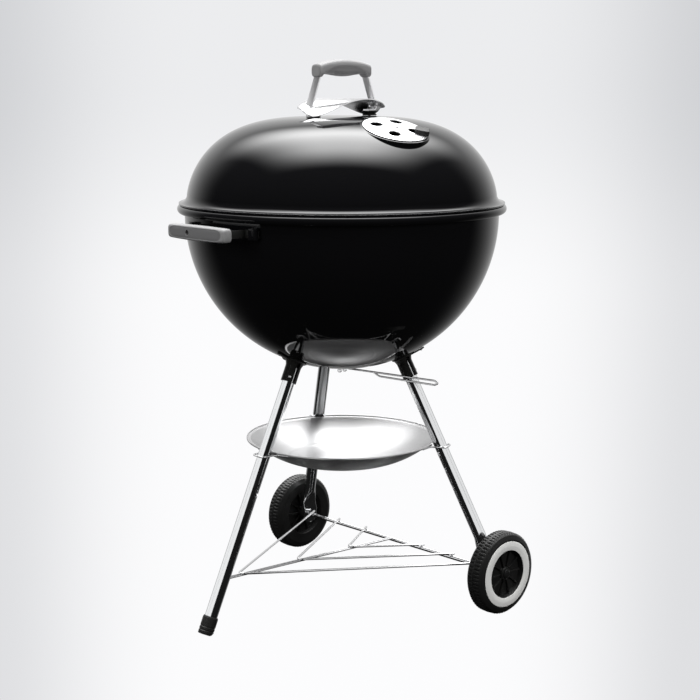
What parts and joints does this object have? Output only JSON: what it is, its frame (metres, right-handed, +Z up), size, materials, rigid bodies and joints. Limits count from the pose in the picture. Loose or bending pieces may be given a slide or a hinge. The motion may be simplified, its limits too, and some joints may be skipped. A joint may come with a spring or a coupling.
{
  "type": "kettle charcoal grill",
  "caption": "Enamelled kettle charcoal grill with a lift-off domed lid, side handles, tubular legs, wheels, an ash pan and a wire rack.",
  "frame": {"origin": "on the floor under the kettle's vertical axis", "axes": "+Z up, front faces -Y, the foot leg is at -X and the axle runs along Y at +X"},
  "size_m": [0.6862, 0.6, 1.003],
  "materials": {
    "black_enamel": "glossy porcelain enamel",
    "black_steel": "semi-gloss black coated steel",
    "grey_nylon": "matte glass-filled nylon",
    "polished_legs": "bright polished tube",
    "black_plastic": "moulded black plastic",
    "white_plastic": "plain white moulded ring",
    "satin_aluminium": "satin spun and pressed sheet",
    "plated_steel": "nickel-plated wire and sheet"
  },
  "bodies": {
    "base": {"bowl": "black_enamel", "grate_bracket_1": "plated_steel", "grate_bracket_2": "plated_steel", "grate_bracket_3": "plated_steel", "grate_bracket_4": "plated_steel", "side_grip_left": "grey_nylon", "side_strap_left": "black_steel", "side_bracket_left_a": "black_enamel", "side_bracket_left_b": "black_enamel", "side_grip_right": "grey_nylon", "side_strap_right": "black_steel", "side_bracket_right_a": "black_enamel", "side_bracket_right_b": "black_enamel", "leg_foot": "polished_legs", "leg_front": "polished_legs", "leg_rear": "polished_legs", "foot_cap": "black_plastic", "socket_foot": "black_steel", "socket_front": "black_steel", "socket_rear": "black_steel", "snap_button_foot": "plated_steel", "snap_button_front": "plated_steel", "snap_button_rear": "plated_steel", "pan_clip_foot": "plated_steel", "pan_clip_front": "plated_steel", "pan_clip_rear": "plated_steel", "axle": "plated_steel", "wire_rack": "plated_steel", "hub_cap_front": "black_plastic", "hub_cap_rear": "black_plastic"},
    "lid": {"lid": "black_enamel", "lid_handle_bar": "satin_aluminium", "lid_handle_grip": "grey_nylon", "heat_shield": "satin_aluminium", "lid_hook": "plated_steel", "lid_vent_rivet": "satin_aluminium", "lid_handle_spacer_left": "black_plastic", "lid_handle_spacer_right": "black_plastic", "lid_handle_bolt_left": "plated_steel", "lid_handle_bolt_right": "plated_steel"},
    "lid_vent": {"lid_vent_disc": "satin_aluminium", "lid_vent_tab": "black_plastic"},
    "ash_sweep": {"sweep_blades": "plated_steel", "sweep_hub": "plated_steel", "sweep_lever": "plated_steel", "sweep_nut_1": "plated_steel", "sweep_nut_2": "plated_steel"},
    "ash_pan": {"ash_pan": "satin_aluminium"},
    "cooking_grate": {"cooking_grate": "plated_steel"},
    "charcoal_grate": {"charcoal_grate": "plated_steel"},
    "wheel_front": {"wheel_front": "black_plastic", "wheel_ring_front": "white_plastic"},
    "wheel_rear": {"wheel_rear": "black_plastic", "wheel_ring_rear": "white_plastic"}
  },
  "joints": [
    {"name": "lid_lift", "type": "slide", "parent": "base", "child": "lid", "axis": [0, 0, 1], "range_m": [0, 0.35]},
    {"name": "lid_vent_turn", "type": "hinge", "parent": "lid", "child": "lid_vent", "pos_m": [-0.03658, -0.17359, 0.88492], "axis": [-0.0671, -0.3186, 0.9455], "range_deg": [-45, 45]},
    {"name": "ash_sweep_turn", "type": "hinge", "parent": "base", "child": "ash_sweep", "pos_m": [0, 0, 0.44], "axis": [0, 0, -1], "range_deg": [0, 60]},
    {"name": "ash_pan_lift", "type": "slide", "parent": "base", "child": "ash_pan", "axis": [0, 0, 1], "range_m": [0, 0.008]},
    {"name": "cooking_grate_lift", "type": "slide", "parent": "base", "child": "cooking_grate", "axis": [0, 0, 1], "range_m": [0, 0.018]},
    {"name": "charcoal_grate_lift", "type": "slide", "parent": "base", "child": "charcoal_grate", "axis": [0, 0, 1], "range_m": [0, 0.1]},
    {"name": "wheel_front_spin", "type": "hinge", "parent": "base", "child": "wheel_front", "pos_m": [0.1364, -0.2783, 0.0762], "axis": [0, 1, 0], "continuous": true},
    {"name": "wheel_rear_spin", "type": "hinge", "parent": "base", "child": "wheel_rear", "pos_m": [0.1364, 0.2783, 0.0762], "axis": [0, 1, 0], "continuous": true}
  ]
}
